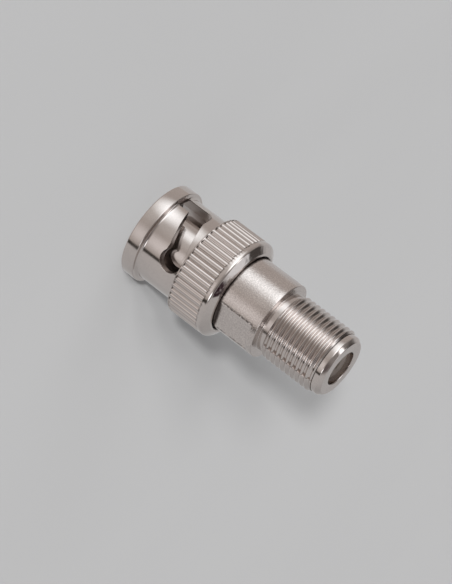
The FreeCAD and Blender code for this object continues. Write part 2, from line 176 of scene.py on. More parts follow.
# Insulators and gasket
CAVITY_FLOOR = 7.99
SOCKET_ROOM = 1.17
WIRE_HOLE = 0.70
WIRE_CHAMFER = 0.25
GASKET_FRONT = 10.89
GASKET = 4.75
GASKET_FIT = 0.05

# Spring and washer
SPRING_STRIP = 0.22
SPRING_HEIGHT = 0.85
SPRING_WAVES = 3
SPRING_GAP = 0.03
WASHER_FRONT = 13.64
WASHER_BACK = 13.89

# Sampling of round forms
STEPS_PER_CORNER = 6
SLEEVE_COLUMNS = 360
RING_COLUMNS = 240
BUSH_COLUMNS = 180
PIN_COLUMNS = 144
STRAIGHT = math.radians(88)
SHARP = math.radians(32)
MERGE = 1e-5
FACE_WEIGHT = 90


def softened(corners):
    """Points of a closed outline whose corners (radius, height, rounding) are rounded by arcs."""
    points = []
    count = len(corners)
    for index, (across, along, rounding) in enumerate(corners):
        here = Vector((across, along))
        before = Vector(corners[index - 1][:2]) - here
        after = Vector(corners[(index + 1) % count][:2]) - here
        if rounding == 0 or before.length < TINY or after.length < TINY:
            points.append((across, along))
            continue
        before.normalize()
        after.normalize()
        half = math.acos(max(-1.0, min(1.0, before.dot(after)))) / 2
        if half > STRAIGHT:
            points.append((across, along))
            continue
        reach = rounding / math.tan(half)
        centre = here + (before + after).normalized() * (rounding / math.sin(half))
        start = here + before * reach - centre
        sweep = (here + after * reach - centre).angle_signed(start)
        for step in range(STEPS_PER_CORNER + 1):
            turn = sweep * step / STEPS_PER_CORNER
            spot = centre + Matrix.Rotation(turn, 2) @ start
            points.append((spot.x, spot.y))
    return points


def even(count):
    """Angles spread evenly round the axis."""
    return [2 * math.pi * step / count for step in range(count)]


def placed(name, data):
    """A new object in the scene that holds the data."""
    made = bpy.data.objects.new(name, data)
    bpy.context.scene.collection.objects.link(made)
    return made


def mesh_object(name, vertices, faces):
    """An object in millimetre coordinates, with its doubled corners merged."""
    mesh = bpy.data.meshes.new(name)
    mesh.from_pydata(vertices, [], faces)
    tool = bmesh.new()
    tool.from_mesh(mesh)
    bmesh.ops.remove_doubles(tool, verts=tool.verts, dist=MERGE)
    bmesh.ops.recalc_face_normals(tool, faces=tool.faces)
    tool.to_mesh(mesh)
    tool.free()
    return placed(name, mesh)


def lathe(name, outline, angles, shape=None):
    """Turns a closed outline of radius and height round Z; shape may change the radius."""
    vertices = []
    for angle in angles:
        for row, (radius, height) in enumerate(outline):
            if shape:
                radius = shape(row, angle, radius, height)
            vertices.append((radius * math.cos(angle), radius * math.sin(angle), height))
    rows = len(outline)
    columns = len(angles)
    faces = []
    for column in range(columns):
        following = (column + 1) % columns
        for row in range(rows):
            above = (row + 1) % rows
            faces.append((column * rows + row, following * rows + row,
                          following * rows + above, column * rows + above))
    return mesh_object(name, vertices, faces)


def block(name, low, high):
    """A plain block between two corners, used only to cut."""
    vertices = [(x, y, z) for x in (low[0], high[0]) for y in (low[1], high[1])
                for z in (low[2], high[2])]
    faces = [(0, 1, 3, 2), (4, 6, 7, 5), (0, 4, 5, 1), (2, 3, 7, 6), (0, 2, 6, 4), (1, 5, 7, 3)]
    return mesh_object(name, vertices, faces)


def baked(piece):
    """Applies the piece's modifiers to its mesh."""
    graph = bpy.context.evaluated_depsgraph_get()
    mesh = bpy.data.meshes.new_from_object(piece.evaluated_get(graph))
    old = piece.data
    piece.modifiers.clear()
    piece.data = mesh
    mesh.name = piece.name
    bpy.data.meshes.remove(old)


def cut_by(piece, cutter):
    """Takes the cutter's volume out of the piece and deletes the cutter."""
    cut = piece.modifiers.new("cut", "BOOLEAN")
    cut.operation = "DIFFERENCE"
    cut.solver = "EXACT"
    cut.object = cutter
    baked(piece)
    bpy.data.objects.remove(cutter)


def joined(name, parts):
    """One object from several."""
    tool = bmesh.new()
    for part in parts:
        tool.from_mesh(part.data)
        bpy.data.objects.remove(part)
    mesh = bpy.data.meshes.new(name)
    tool.to_mesh(mesh)
    tool.free()
    return placed(name, mesh)


def turned_about_z(piece, degrees):
    """Turns the mesh itself, so that the object stays at the origin."""
    piece.data.transform(Matrix.Rotation(math.radians(degrees), 4, "Z"))


def finished(piece, material, body, replaced):
    """Brings a piece to metres and gives it shading, a material and its place in the frame."""
    mesh = piece.data
    mesh.transform(Matrix.Scale(MM, 4))
    mesh.shade_smooth()
    mesh.set_sharp_from_angle(angle=SHARP)
    weigh = piece.modifiers.new("even_shading", "WEIGHTED_NORMAL")
    weigh.mode = "FACE_AREA"
    weigh.weight = FACE_WEIGHT
    weigh.keep_sharp = True
    mesh.materials.clear()
    mesh.materials.append(material)
    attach(piece, body)
    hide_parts(replaced)


# Materials. An input takes a plain value or another node's output.
def feed(tree, made, inputs):
    """Sets a node's inputs to plain values or links them to outputs."""
    for key, value in inputs.items():
        if isinstance(value, bpy.types.NodeSocket):
            tree.links.new(value, made.inputs[key])
        else:
            made.inputs[key].default_value = value


def node(tree, kind, inputs=None, **values):
    """Adds a node, sets its plain attributes and feeds its inputs."""
    made = tree.nodes.new(kind)
    for key, value in values.items():
        setattr(made, key, value)
    feed(tree, made, inputs or {})
    return made


def new_material(name):
    """A node material with its tree, its shader and the place on the object in metres."""
    material = bpy.data.materials.new(name)
    material.use_nodes = True
    tree = material.node_tree
    place = node(tree, "ShaderNodeTexCoord").outputs["Object"]
    return material, tree, tree.nodes["Principled BSDF"], place


def maths(tree, operation, *values):
    """The result of a calculation with outputs or numbers."""
    return node(tree, "ShaderNodeMath", dict(enumerate(values)), operation=operation).outputs[0]


def noise(tree, vector, scale, detail=2.0, roughness=0.5):
    """A noise value between 0 and 1."""
    made = node(tree, "ShaderNodeTexNoise", {"Vector": vector, "Scale": scale,
                                             "Detail": detail, "Roughness": roughness})
    return made.outputs["Fac"]


def ramp(tree, value, low, high, start=0.0, end=1.0):
    """Maps a value from one range to another and holds it there."""
    made = node(tree, "ShaderNodeMapRange", {"Value": value, "From Min": low, "From Max": high,
                                             "To Min": start, "To Max": end})
    return made.outputs["Result"]


def mixed(tree, factor, first, second, **values):
    """The first colour with the second laid over it by a factor."""
    made = node(tree, "ShaderNodeMix", {"Factor": factor, "A": first, "B": second},
                data_type="RGBA", **values)
    return made.outputs["Result"]


def split(tree, vector):
    """The three outputs of a vector."""
    return node(tree, "ShaderNodeSeparateXYZ", {0: vector}).outputs


def bumped(tree, height, strength, depth, under=None):
    """The normal of a surface with a relief of a depth in mm, over another relief if given."""
    inputs = {"Strength": strength, "Distance": depth * MM, "Height": height}
    if under is not None:
        inputs["Normal"] = under
    return node(tree, "ShaderNodeBump", inputs).outputs[0]


def length_of(tree, first, second):
    """The distance over two legs at a right angle."""
    squares = [maths(tree, "MULTIPLY", leg, leg) for leg in (first, second)]
    return maths(tree, "SQRT", maths(tree, "ADD", *squares))


# Nickel. A scale is in lumps a metre. A band holds the values between which a ramp runs, and
# its ends where they aren't 0 and 1.
NICKEL_TINT = (0.67, 0.61, 0.58)
STEEL_TINT = (0.55, 0.55, 0.55)
CLOUDED = 0.93
TURNING_SCALE = 9000.0
CLOUD_SCALE = 260.0
SPECK_SCALE = 2600.0
SPECK_ROUGHNESS = 0.6
FRECKLE_SCALE = 6500.0
SPARKLE_SCALE = 5000.0
DENT_SCALE = 900.0
NOISE_BAND = (0.3, 0.7)
CLOUD_BAND = (0.35, 0.7)
GRAIN_BAND = (0.4, 0.75, 0.0, 0.04)
# Painted shade: a dark brown laid into the plate's colour in corners, along the flats' edges and
# inside the shell
PAINTED_SHADE = (0.13, 0.108, 0.098, 1)
SHADE_COVER = 0.85
CORNER_CORE = 0.35
CORNER_WANDER = (-0.08, 0.08)
EDGE_CORE = 0.5
EDGE_WANDER = (-0.06, 0.07)
# Inside the shell the painted shade is faint, and strongest on faces turned along +Z
INNER_SHADE = 0.2
LEDGE_SHADE = 0.8
LEDGE_SHADE_BAND = (0.1, 0.6, INNER_SHADE, LEDGE_SHADE)
INNER_DULLNESS = 0.22
INNER_FADE_ACROSS = 0.07
INNER_FADE_ALONG = 0.3
SATIN = 0.08
SATIN_FADE = 0.4
SPARKLE = 8.0
FRECKLES = 0.03
SATIN_FRECKLES = 0.10
TURNING_DEPTH = 0.004
DENT_DEPTH = 0.05
DENT_FADE = 0.25


def beyond(tree, value, limit):
    """How far a value in metres is past a limit in mm."""
    return maths(tree, "SUBTRACT", value, limit * MM)


def shade_cover(tree, far, specks, wander, core, reach):
    """How much painted shade covers the plate at a distance: solid up to the core, ragged at the
    reach.
    """
    low, high = wander
    ragged = maths(tree, "ADD", far, ramp(tree, specks, *NOISE_BAND, low * MM, high * MM))
    return ramp(tree, ragged, core * reach * MM, reach * MM, SHADE_COVER, 0.0)


def corner_shade(tree, across, along, specks, corner):
    """Painted shade in a ring round the axis."""
    radius, height, reach = corner
    far = length_of(tree, beyond(tree, across, radius), beyond(tree, along, height))
    return shade_cover(tree, far, specks, CORNER_WANDER, CORNER_CORE, reach)


def edge_shade(tree, sides, along, specks, edge):
    """Painted shade on four lines along the axis, between two heights."""
    *distances, reach, low, high = edge
    gaps = [beyond(tree, maths(tree, "ABSOLUTE", side), distance)
            for side, distance in zip(sides, distances)]
    stretch = maths(tree, "MULTIPLY", maths(tree, "GREATER_THAN", along, low * MM),
                    maths(tree, "LESS_THAN", along, high * MM))
    cover = shade_cover(tree, length_of(tree, *gaps), specks, EDGE_WANDER, EDGE_CORE, reach)
    return maths(tree, "MULTIPLY", stretch, cover)


def nickel(name, tint, smooth, rough, turning, satin=None, corners=(), inside=None, edge=None,
           dented=None):
    """Bright nickel plate: faint turning marks, cloudy polish, fine specks and painted shade in
    corners.

    Satin is the height in mm up to which the plate is dull, and each corner is the radius,
    height and reach in mm of a ring round which shade is painted into the plate. Inside is a
    radius and a height in mm: within and below them the plate is duller and has painted shade,
    most on faces turned along +Z. Edge is the distances in mm from both middle planes, the
    reach and the two end heights of four lines of painted shade along the axis. Dented is the
    height in mm above which the surface has small knocks.
    """
    material, tree, shader, place = new_material(name)
    wide, deep, along = split(tree, place)
    across = length_of(tree, wide, deep)
    rings = node(tree, "ShaderNodeCombineXYZ", {"X": across, "Z": along}).outputs[0]
    relief = noise(tree, rings, TURNING_SCALE, roughness=SPECK_ROUGHNESS)
    clouds = noise(tree, place, CLOUD_SCALE, 3.0)
    specks = noise(tree, place, SPECK_SCALE, roughness=SPECK_ROUGHNESS)

    clouded = [channel * CLOUDED for channel in tint]
    plate = mixed(tree, ramp(tree, clouds, *CLOUD_BAND), (*tint, 1), (*clouded, 1))
    polish = ramp(tree, clouds, *NOISE_BAND, smooth, rough)
    # Painted shade round each corner ring
    for corner in corners:
        plate = mixed(tree, corner_shade(tree, across, along, specks, corner), plate, PAINTED_SHADE)
    # Painted shade along the flats' edges
    if edge:
        plate = mixed(tree, edge_shade(tree, (wide, deep), along, specks, edge), plate, PAINTED_SHADE)
    # Inside: painted shade, strongest on faces turned along +Z, and a duller plate
    if inside:
        radius, height = inside
        within = ramp(tree, across, (radius - INNER_FADE_ACROSS) * MM, radius * MM, 1.0, 0.0)
        below = ramp(tree, along, height * MM, (height + INNER_FADE_ALONG) * MM, 1.0, 0.0)
        inner = maths(tree, "MULTIPLY", within, below)
        normal = node(tree, "ShaderNodeNewGeometry").outputs["True Normal"]
        cover = ramp(tree, split(tree, normal)["Z"], *LEDGE_SHADE_BAND)
        plate = mixed(tree, maths(tree, "MULTIPLY", inner, cover), plate, PAINTED_SHADE)
        polish = maths(tree, "ADD", polish, maths(tree, "MULTIPLY", inner, INNER_DULLNESS))

    polish = maths(tree, "ADD", polish, ramp(tree, specks, *GRAIN_BAND))
    strength = FRECKLES
    if satin:
        fade = satin * MM, (satin + SATIN_FADE) * MM
        strength = ramp(tree, along, *fade, SATIN_FRECKLES, FRECKLES)
        dull = ramp(tree, along, *fade, 1.0, 0.0)
        polish = maths(tree, "ADD", polish, maths(tree, "MULTIPLY", dull, SATIN))
        sparkle = maths(tree, "MULTIPLY", noise(tree, place, SPARKLE_SCALE, 1.0), dull)
        relief = maths(tree, "ADD", relief, maths(tree, "MULTIPLY", sparkle, SPARKLE))
    freckles = ramp(tree, noise(tree, place, FRECKLE_SCALE, 1.0), *NOISE_BAND, -1.0, 1.0)
    shade = maths(tree, "ADD", maths(tree, "MULTIPLY", freckles, strength),
                  1.0 - SATIN_FRECKLES / 2)
    knocks = None
    if dented:
        lumps = maths(tree, "MULTIPLY", noise(tree, place, DENT_SCALE, 1.0),
                      ramp(tree, along, dented * MM, (dented + DENT_FADE) * MM))
        knocks = bumped(tree, lumps, 1.0, DENT_DEPTH)
    feed(tree, shader, {
        "Metallic": 1.0,
        "Base Color": mixed(tree, 1.0, plate, shade, blend_type="MULTIPLY"),
        "Roughness": polish,
        "Normal": bumped(tree, relief, turning, TURNING_DEPTH, knocks),
    })
    return material


def gold(name, tint, dark):
    """Thin gold flash over turned brass."""
    material, tree, shader, place = new_material(name)
    clouds = noise(tree, place, 500.0, 3.0)
    feed(tree, shader, {
        "Metallic": 1.0,
        "Base Color": mixed(tree, clouds, tint, dark),
        "Roughness": ramp(tree, clouds, *NOISE_BAND, 0.14, 0.24),
    })
    return material


def plastic(name, tint, dark):
    """Waxy moulded plastic with a faint mottle and a fine machined grain."""
    material, tree, shader, place = new_material(name)
    clouds = noise(tree, place, 420.0, 4.0)
    feed(tree, shader, {
        "Base Color": mixed(tree, ramp(tree, clouds, 0.35, 0.75), tint, dark),
        "Roughness": ramp(tree, clouds, *NOISE_BAND, 0.38, 0.52),
        "Subsurface Weight": 0.15,
        "Subsurface Radius": (0.0006, 0.0005, 0.0004),
        "Normal": bumped(tree, noise(tree, place, 6000.0), 0.3, 0.006),
    })
    return material


def silicone(name, tint, dark):
    """Matt silicone with a dusty bloom."""
    material, tree, shader, place = new_material(name)
    feed(tree, shader, {
        "Base Color": mixed(tree, noise(tree, place, 900.0, 4.0), tint, dark),
        "Roughness": 0.6,
        "Normal": bumped(tree, noise(tree, place, 5000.0), 0.4, 0.01),
    })
    return material


# Shade is painted into the plate at the ribs' ends, behind the flange, at the gap and along the
# flats, and faintly inside the shell
RIB_FOOT = GRIP - 0.13
nickel_shell = nickel("nickel_shell", NICKEL_TINT, smooth=0.06, rough=0.12, turning=0.30,
                      corners=[(TUBE, FLANGE_BACK, 0.13), (LIP_BORE, SHELL_BACK, 0.22),
                               (RIB_FOOT, RIBS_FRONT, 0.14), (RIB_FOOT, RIBS_BACK, 0.17)],
                      inside=(TUBE - 0.03, GRIP_FRONT), dented=SHELL_BACK - BEVEL_ALONG - 0.1)
# Painted shade on the body at the gap by the shell's lip and along the flats' edges
nickel_body = nickel("nickel_body", NICKEL_TINT, smooth=0.08, rough=0.13, turning=0.45,
                     satin=COLLAR_BACK,
                     corners=[(BODY, SHELL_BACK, 0.38), (FLAT + 0.1, SHELL_BACK, 0.5)],
                     edge=(FLAT, math.sqrt(BODY ** 2 - FLAT ** 2), 0.11, FLATS_FRONT,
                           FLATS_BACK + FLATS_RIM))
nickel_sleeve = nickel("nickel_sleeve", NICKEL_TINT, smooth=0.10, rough=0.15, turning=0.20)
spring_steel = nickel("spring_steel", STEEL_TINT, smooth=0.22, rough=0.32, turning=0.30)
gold_contact = gold("gold_contact", (0.83, 0.61, 0.26, 1), (0.74, 0.52, 0.22, 1))
white_plastic = plastic("white_plastic", (0.80, 0.79, 0.76, 1), (0.74, 0.72, 0.68, 1))
gasket_rubber = silicone("gasket_rubber", (0.46, 0.075, 0.045, 1), (0.36, 0.055, 0.035, 1))


# Adapter body
def body_angles():
    """Columns round the body, with groups at the edges of the two flats."""
    corner = math.degrees(math.acos(FLAT / BODY))
    edges = []
    for middle in (0.0, 180.0):
        for side in (-1, 1):
            edges += [middle + side * (corner + shift) for shift in EDGE_COLUMNS]
    angles = [angle % 360 for angle in edges]
    for angle in range(360):
        near = min(abs((angle - edge + 180) % 360 - 180) for edge in edges)
        if near > EDGE_GAP:
            angles.append(float(angle))
    return [math.radians(angle) for angle in sorted(angles)]


def turned_body():
    """Turned body with its inner flange, two wrench flats, relief, nose and port."""
    burr_step = (FLATS_BACK - FLATS_FRONT) / BURR_STEPS
    outline = softened([
        (NECK, SEAT, 0.03),
        (SEAT_RIM, SEAT, 0.08),
        (SEAT_RIM, SEAT_BACK, 0.08),
        (BODY, SEAT_BACK, 0.05),
        (BODY, FLATS_FRONT, 0.0),
        *[(BODY, FLATS_FRONT + step * burr_step, 0.0) for step in range(BURR_STEPS + 1)],
        (BODY, FLATS_BACK, 0.0),
        (BODY, FLATS_BACK + FLATS_RIM, 0.0),
        (BODY, COLLAR_BACK, 0.13),
        (ROOT, COLLAR_BACK, 0.08),
        (ROOT, NOSE_FRONT, 0.03),
        (NOSE, NOSE_FRONT, 0.05),
        (NOSE, NOSE_BACK - NOSE_BEVEL_ALONG, 0.34),
        (NOSE - NOSE_BEVEL_ACROSS, NOSE_BACK, 0.30),
        (PORT, NOSE_BACK, 0.10),
        (PORT, PORT_FLOOR, 0.02),
        (INSULATOR, PORT_FLOOR, 0.0),
        (INSULATOR, SLEEVE_BACK, 0.0),
        (NECK, SLEEVE_BACK, 0.0),
    ])
    # The doubled corner at the flats' front makes the step: its first row stays round
    first = outline.index((BODY, FLATS_FRONT)) + 1
    corner = math.acos(FLAT / BODY)

    def flatten(row, angle, radius, height):
        if not first <= row <= first + BURR_STEPS:
            return radius
        from_flat = min(angle % math.pi, math.pi - angle % math.pi)
        beside = abs(from_flat - corner) * BODY
        side = round(math.cos(angle))
        chip = hills.noise(Vector((height * BURR_LUMPS, side * BURR_SIDES_APART, BURR_LAYER)))
        depth = BURR_DEPTH * max(0.0, 1.0 + BURR_SWING * chip)
        notch = depth * max(0.0, 1.0 - beside / BURR_REACH)
        return min(radius, FLAT / max(abs(math.cos(angle)), TINY)) - notch

    return lathe("body_turned", outline, body_angles(), flatten)


def blank_radius(height):
    """Radius of the thread's blank, with a lead-in at both ends."""
    inside = min(height - THREAD_FRONT, THREAD_BACK - height)
    return min(CREST, CREST - THREAD_LEAD + inside)


def make_thread():
    """A right-hand helical thread over the root cylinder, with open ends and one fine seam."""
    form = []
    for step in range(THREAD_SAMPLES):
        part = step / THREAD_SAMPLES - 0.5
        lift = 0.5 + 0.5 * math.cos(2 * math.pi * part)
        form.append((part, CREST - THREAD_DEPTH * (1 - lift)))
    turns = int((THREAD_BACK - THREAD_FRONT) / PITCH) + 2 * SPARE_TURNS
    rows = turns * len(form)
    vertices = []
    for angle in even(THREAD_COLUMNS):
        shift = PITCH * angle / (2 * math.pi)
        for turn in range(turns):
            for part, radius in form:
                height = THREAD_FRONT + (turn - SPARE_TURNS + part) * PITCH + shift
                height = max(THREAD_FRONT, min(THREAD_BACK, height))
                radius = min(radius, blank_radius(height))
                vertices.append((radius * math.cos(angle), radius * math.sin(angle), height))
    faces = []
    for column in range(THREAD_COLUMNS):
        following = (column + 1) % THREAD_COLUMNS
        # Known fault: the climb is on the near row and belongs on the far one. The last column
        # so meets the first one two turns off, which leaves the seam at angle 0.
        climb = len(form) if following == 0 else 0
        for row in range(rows - 1 - climb):
            near = column * rows + row + climb
            far = following * rows + row
            faces.append((near, far, far + 1, near + 1))
    return mesh_object("thread", vertices, faces)


def make_body():
    """The turned body with its thread, in one piece."""
    body = joined("adapter_body_metal", [turned_body(), make_thread()])
    finished(body, nickel_body, "adapter", "adapter_body")


# Coupling shell
def rib_angles():
    """Columns round the grip, close together in the valleys between its ribs."""
    return [math.radians(rib * RIB_PITCH + offset)
            for rib in range(RIB_COUNT) for offset in RIB_COLUMNS]


def rib_shape(row, angle, radius, height):
    """Lowers the grip's surface in the gaps between its ribs."""
    if radius < GRIP - TINY or not RIBS_FRONT < height < RIBS_BACK:
        return radius
    offset = abs((math.degrees(angle) + RIB_PITCH / 2) % RIB_PITCH - RIB_PITCH / 2)
    across = GRIP * math.radians(RIB_PITCH / 2 - offset)
    widest = GRIP * math.radians(RIB_PITCH / 2)
    bend = (widest ** 2 + RIB_DEPTH ** 2) / (2 * RIB_DEPTH)
    depth = bend - math.sqrt(bend ** 2 - across ** 2)
    end = min(1.0, min(height - RIBS_FRONT, RIBS_BACK - height) / RIB_RUNOUT)
    return radius - min(depth, RIB_DEPTH - VALLEY_TRIM) * end * end * (3 - 2 * end)


def slot_outline(radius, grow):
    """Angles and heights of the slot's edge at a radius, grown outwards, and its upper count."""
    window = math.degrees(math.asin(SLOT_HALF / radius))
    detent_at = CAM_DELAY + CAM_TURN + DWELL_TURN
    level = CAM_DEPTH + CAM_LIFT
    arm = math.sqrt(DETENT ** 2 - SLOT_HALF_ALONG ** 2)
    to_angle = 180 / math.pi / radius

    def centre(angle):
        share = (angle - CAM_DELAY) / CAM_TURN
        return CAM_DEPTH + CAM_LIFT * max(0.0, min(1.0, share))

    # Upper: the window's first wall. Lower: its front.
    upper = []
    lower = []
    for step in range(WALL_STEPS + 1):
        upper.append((-window, WINDOW_FRONT + (CAM_DEPTH - WINDOW_FRONT) * step / WALL_STEPS))
        lower.append((-window + 2 * window * step / WALL_STEPS, WINDOW_FRONT))

    # Upper: the round corner at the window's back. Lower: its other wall.
    wall_top = CAM_DEPTH - SLOT_HALF_ALONG
    for step in range(1, ROUND_STEPS + 1):
        turn = math.radians(180 - 90 * step / ROUND_STEPS)
        side = math.degrees(math.asin(SLOT_HALF * math.cos(turn) / radius))
        upper.append((side, CAM_DEPTH + SLOT_HALF * math.sin(turn)))
        lower.append((window, WINDOW_FRONT + (wall_top - WINDOW_FRONT) * step / ROUND_STEPS))

    # The ramp, on both sides
    start_lower = window + RAMP_FOOT_START
    stop = detent_at - math.degrees(math.asin(arm / radius))
    for step in range(RAMP_STEPS + 1):
        share = step / RAMP_STEPS
        angle = RAMP_TOP_START + (stop - RAMP_TOP_START) * share
        upper.append((angle, centre(angle) + SLOT_HALF_ALONG))
        angle = start_lower + (stop - start_lower) * share
        lower.append((angle, centre(angle) - SLOT_HALF_ALONG))

    # The round detent, on both sides
    opening = math.degrees(math.atan2(SLOT_HALF_ALONG, -arm))
    for step in range(1, DETENT_STEPS + 1):
        turn = math.radians(opening * (1 - step / DETENT_STEPS))
        side = detent_at + math.degrees(math.asin(DETENT * math.cos(turn) / radius))
        upper.append((side, level + DETENT * math.sin(turn)))
        lower.append((side, level - DETENT * math.sin(turn)))

    loop = upper[:-1] + lower[:0:-1]
    grown = []
    for index, (angle, height) in enumerate(loop):
        before = loop[index - 1]
        after = loop[(index + 1) % len(loop)]
        along = Vector(((after[0] - before[0]) / to_angle, after[1] - before[1]))
        out = Vector((-along.y, along.x)).normalized()
        lift = height + out.y * grow
        if height < WINDOW_FRONT + TINY:
            lift = WINDOW_FRONT
        grown.append((angle + out.x * grow * to_angle, lift))
    return grown, len(upper)


def slot_cutter(turn):
    """The slot's volume, with its outer and inner edges flared into small rounds."""
    vertices = []
    for radius, grow in SLOT_LEVELS:
        loop, reach = slot_outline(radius, grow)
        for angle, height in loop:
            spot = math.radians(angle + turn)
            vertices.append((radius * math.cos(spot), radius * math.sin(spot), height))
    count = len(loop)
    faces = []
    for level in range(len(SLOT_LEVELS) - 1):
        for index in range(count):
            following = (index + 1) % count
            low = level * count
            faces.append((low + index, low + following,
                          low + count + following, low + count + index))

    # Both ends are closed by strips between the upper and the lower edge
    last = (len(SLOT_LEVELS) - 1) * count
    for base, flip in ((0, True), (last, False)):
        for index in range(reach - 2):
            mate = (count - index) % count
            next_mate = count - index - 1
            face = [base + index, base + index + 1, base + next_mate, base + mate]
            face = [corner for spot, corner in enumerate(face) if corner not in face[:spot]]
            faces.append(tuple(reversed(face)) if flip else tuple(face))
        index = reach - 2
        mate = (count - index) % count
        if index + 1 != mate:
            face = (base + index, base + index + 1, base + mate)
            faces.append(tuple(reversed(face)) if flip else face)
    return mesh_object("slot_cutter", vertices, faces)


def make_shell():
    """Flange, slotted tube and ribbed grip in one turned piece."""
    runout = [RIB_RUNOUT * step / RUNOUT_STEPS for step in range(1, RUNOUT_STEPS + 2)]
    outline = softened([
        (BORE + BORE_CHAMFER, 0.0, 0.04),
        (FLANGE, 0.0, 0.16),
        (FLANGE, FLANGE_BACK, 0.14),
        (TUBE, FLANGE_BACK, 0.42),
        (TUBE, GRIP_FRONT, 0.03),
        (GRIP, GRIP_FRONT, 0.16),
        (GRIP, RIBS_FRONT, 0.0),
        *[(GRIP, RIBS_FRONT + rise, 0.0) for rise in runout],
        *[(GRIP, RIBS_BACK - rise, 0.0) for rise in reversed(runout)],
        (GRIP, RIBS_BACK, 0.0),
        (GRIP, SHELL_BACK - BEVEL_ALONG, 0.45),
        (GRIP - BEVEL_ACROSS, SHELL_BACK - BACK_SLOPE, 0.40),
        (LIP_BORE + LIP_CHAMFER_ACROSS, SHELL_BACK, 0.05),
        (LIP_BORE, SHELL_BACK - LIP_CHAMFER_ALONG, 0.04),
        (LIP_BORE, LIP_FACE, 0.03),
        (CHAMBER, LIP_FACE, 0.03),
        (CHAMBER, CHAMBER_FRONT, 0.03),
        (BORE, CHAMBER_FRONT, 0.03),
        (BORE, BORE_CHAMFER, 0.05),
    ])
    shell = lathe("coupling_shell_metal", outline, rib_angles(), rib_shape)
    cut_by(shell, joined("slots", [slot_cutter(0), slot_cutter(180)]))
    guides = [block("guide", (side * (BORE - GUIDE_SPARE), -SLOT_HALF, -GUIDE_SPARE),
                    (side * (BORE + GUIDE_DEPTH), SLOT_HALF, CAM_DEPTH)) for side in (1, -1)]
    cut_by(shell, joined("guides", guides))
    turned_about_z(shell, SHELL_TURN)
    finished(shell, nickel_shell, "shell", "coupling_shell")


# Outer contact
def make_sleeve():
    """The thin sleeve inside the shell, with four short slits at its mouth."""
    sleeve = lathe("outer_contact_metal", softened([
        (SLEEVE_BORE, SLEEVE_FRONT, 0.06),
        (SLEEVE - MOUTH_ACROSS, SLEEVE_FRONT, 0.06),
        (SLEEVE, SLEEVE_FRONT + MOUTH_ALONG, 0.15),
        (SLEEVE, GASKET_FRONT, 0.03),
        (NECK, GASKET_FRONT, 0.03),
        (NECK, SLEEVE_BACK, 0.0),
        (SLEEVE_BORE, SLEEVE_BACK, 0.0),
    ]), even(SLEEVE_COLUMNS))
    depth = SLEEVE_FRONT + SLIT_DEPTH
    for across, deep in ((SLIT_CUT, SLIT_HALF), (SLIT_HALF, SLIT_CUT)):
        cut_by(sleeve, block("slit", (-across, -deep, 0), (across, deep, depth)))
    turned_about_z(sleeve, SLEEVE_TURN)
    finished(sleeve, nickel_sleeve, "adapter", "outer_contact")


# Insulators
def make_insulators():
    """The two white bushes that hold the centre contact."""
    front = lathe("front_insulator_bush", softened([
        (STEM, CAVITY_FLOOR, 0.04),
        (SLEEVE_BORE, CAVITY_FLOOR, 0.10),
        (SLEEVE_BORE, SLEEVE_BACK, 0.0),
        (STOP, SLEEVE_BACK, 0.0),
        (STOP, STOP_FRONT, 0.0),
        (STEM, STOP_FRONT, 0.0),
    ]), even(BUSH_COLUMNS))
    finished(front, white_plastic, "adapter", "front_insulator")
    rear = lathe("rear_insulator_bush", softened([
        (STOP, SLEEVE_BACK, 0.0),
        (INSULATOR, SLEEVE_BACK, 0.0),
        (INSULATOR, PORT_FLOOR, 0.08),
        (WIRE_HOLE + WIRE_CHAMFER, PORT_FLOOR, 0.05),
        (WIRE_HOLE, PORT_FLOOR - WIRE_CHAMFER, 0.05),
        (WIRE_HOLE, SOCKET_BACK, 0.0),
        (SOCKET_ROOM, SOCKET_BACK, 0.0),
        (SOCKET_ROOM, SOCKET_FLOOR, 0.0),
        (STEM, SOCKET_FLOOR, 0.0),
        (STEM, STOP_BACK, 0.0),
        (STOP, STOP_BACK, 0.0),
    ]), even(BUSH_COLUMNS))
    finished(rear, white_plastic, "adapter", "rear_insulator")


# Centre contact
def make_contact():
    """Pin with a rounded tip, locking collar and slit socket."""
    contact = lathe("centre_contact_metal", softened([
        (AXIS, PIN_TIP, 0.0),
        (PIN_POINT, PIN_TIP, 0.14),
        (PIN, PIN_TIP + PIN_TAPER, 0.5),
        (PIN, CAVITY_FLOOR, 0.02),
        (STEM, CAVITY_FLOOR, 0.03),
        (STEM, STOP_FRONT, 0.0),
        (STOP, STOP_FRONT, 0.03),
        (STOP, STOP_BACK, 0.03),
        (STEM, STOP_BACK, 0.0),
        (STEM, SOCKET_BACK, 0.08),
        (SOCKET, SOCKET_BACK, 0.08),
        (SOCKET, SOCKET_FLOOR, 0.0),
        (AXIS, SOCKET_FLOOR, 0.0),
    ]), even(PIN_COLUMNS))
    cut_by(contact, block("socket_slit", (-SOCKET_CUT, -SOCKET_SLIT_HALF, SOCKET_FLOOR + SOCKET_WEB),
                          (SOCKET_CUT, SOCKET_SLIT_HALF, PORT_FLOOR)))
    finished(contact, gold_contact, "adapter", "centre_contact")


# Gasket, washer and spring
def make_gasket():
    """The silicone ring at the foot of the sleeve."""
    gasket = lathe("gasket_ring", softened([
        (NECK + GASKET_FIT, GASKET_FRONT, 0.12),
        (GASKET, GASKET_FRONT, 0.20),
        (GASKET, SEAT, 0.10),
        (NECK + GASKET_FIT, SEAT, 0.05),
    ]), even(BUSH_COLUMNS))
    finished(gasket, gasket_rubber, "adapter", "gasket")


def make_washer():
    """The flat ring between the spring and the shell's lip."""
    washer = lathe("thrust_washer_ring", softened([
        (LIP_BORE, WASHER_FRONT, 0.04),
        (SEAT_RIM, WASHER_FRONT, 0.04),
        (SEAT_RIM, WASHER_BACK, 0.04),
        (LIP_BORE, WASHER_BACK, 0.04),
    ]), even(RING_COLUMNS))
    finished(washer, spring_steel, "washer", "thrust_washer")


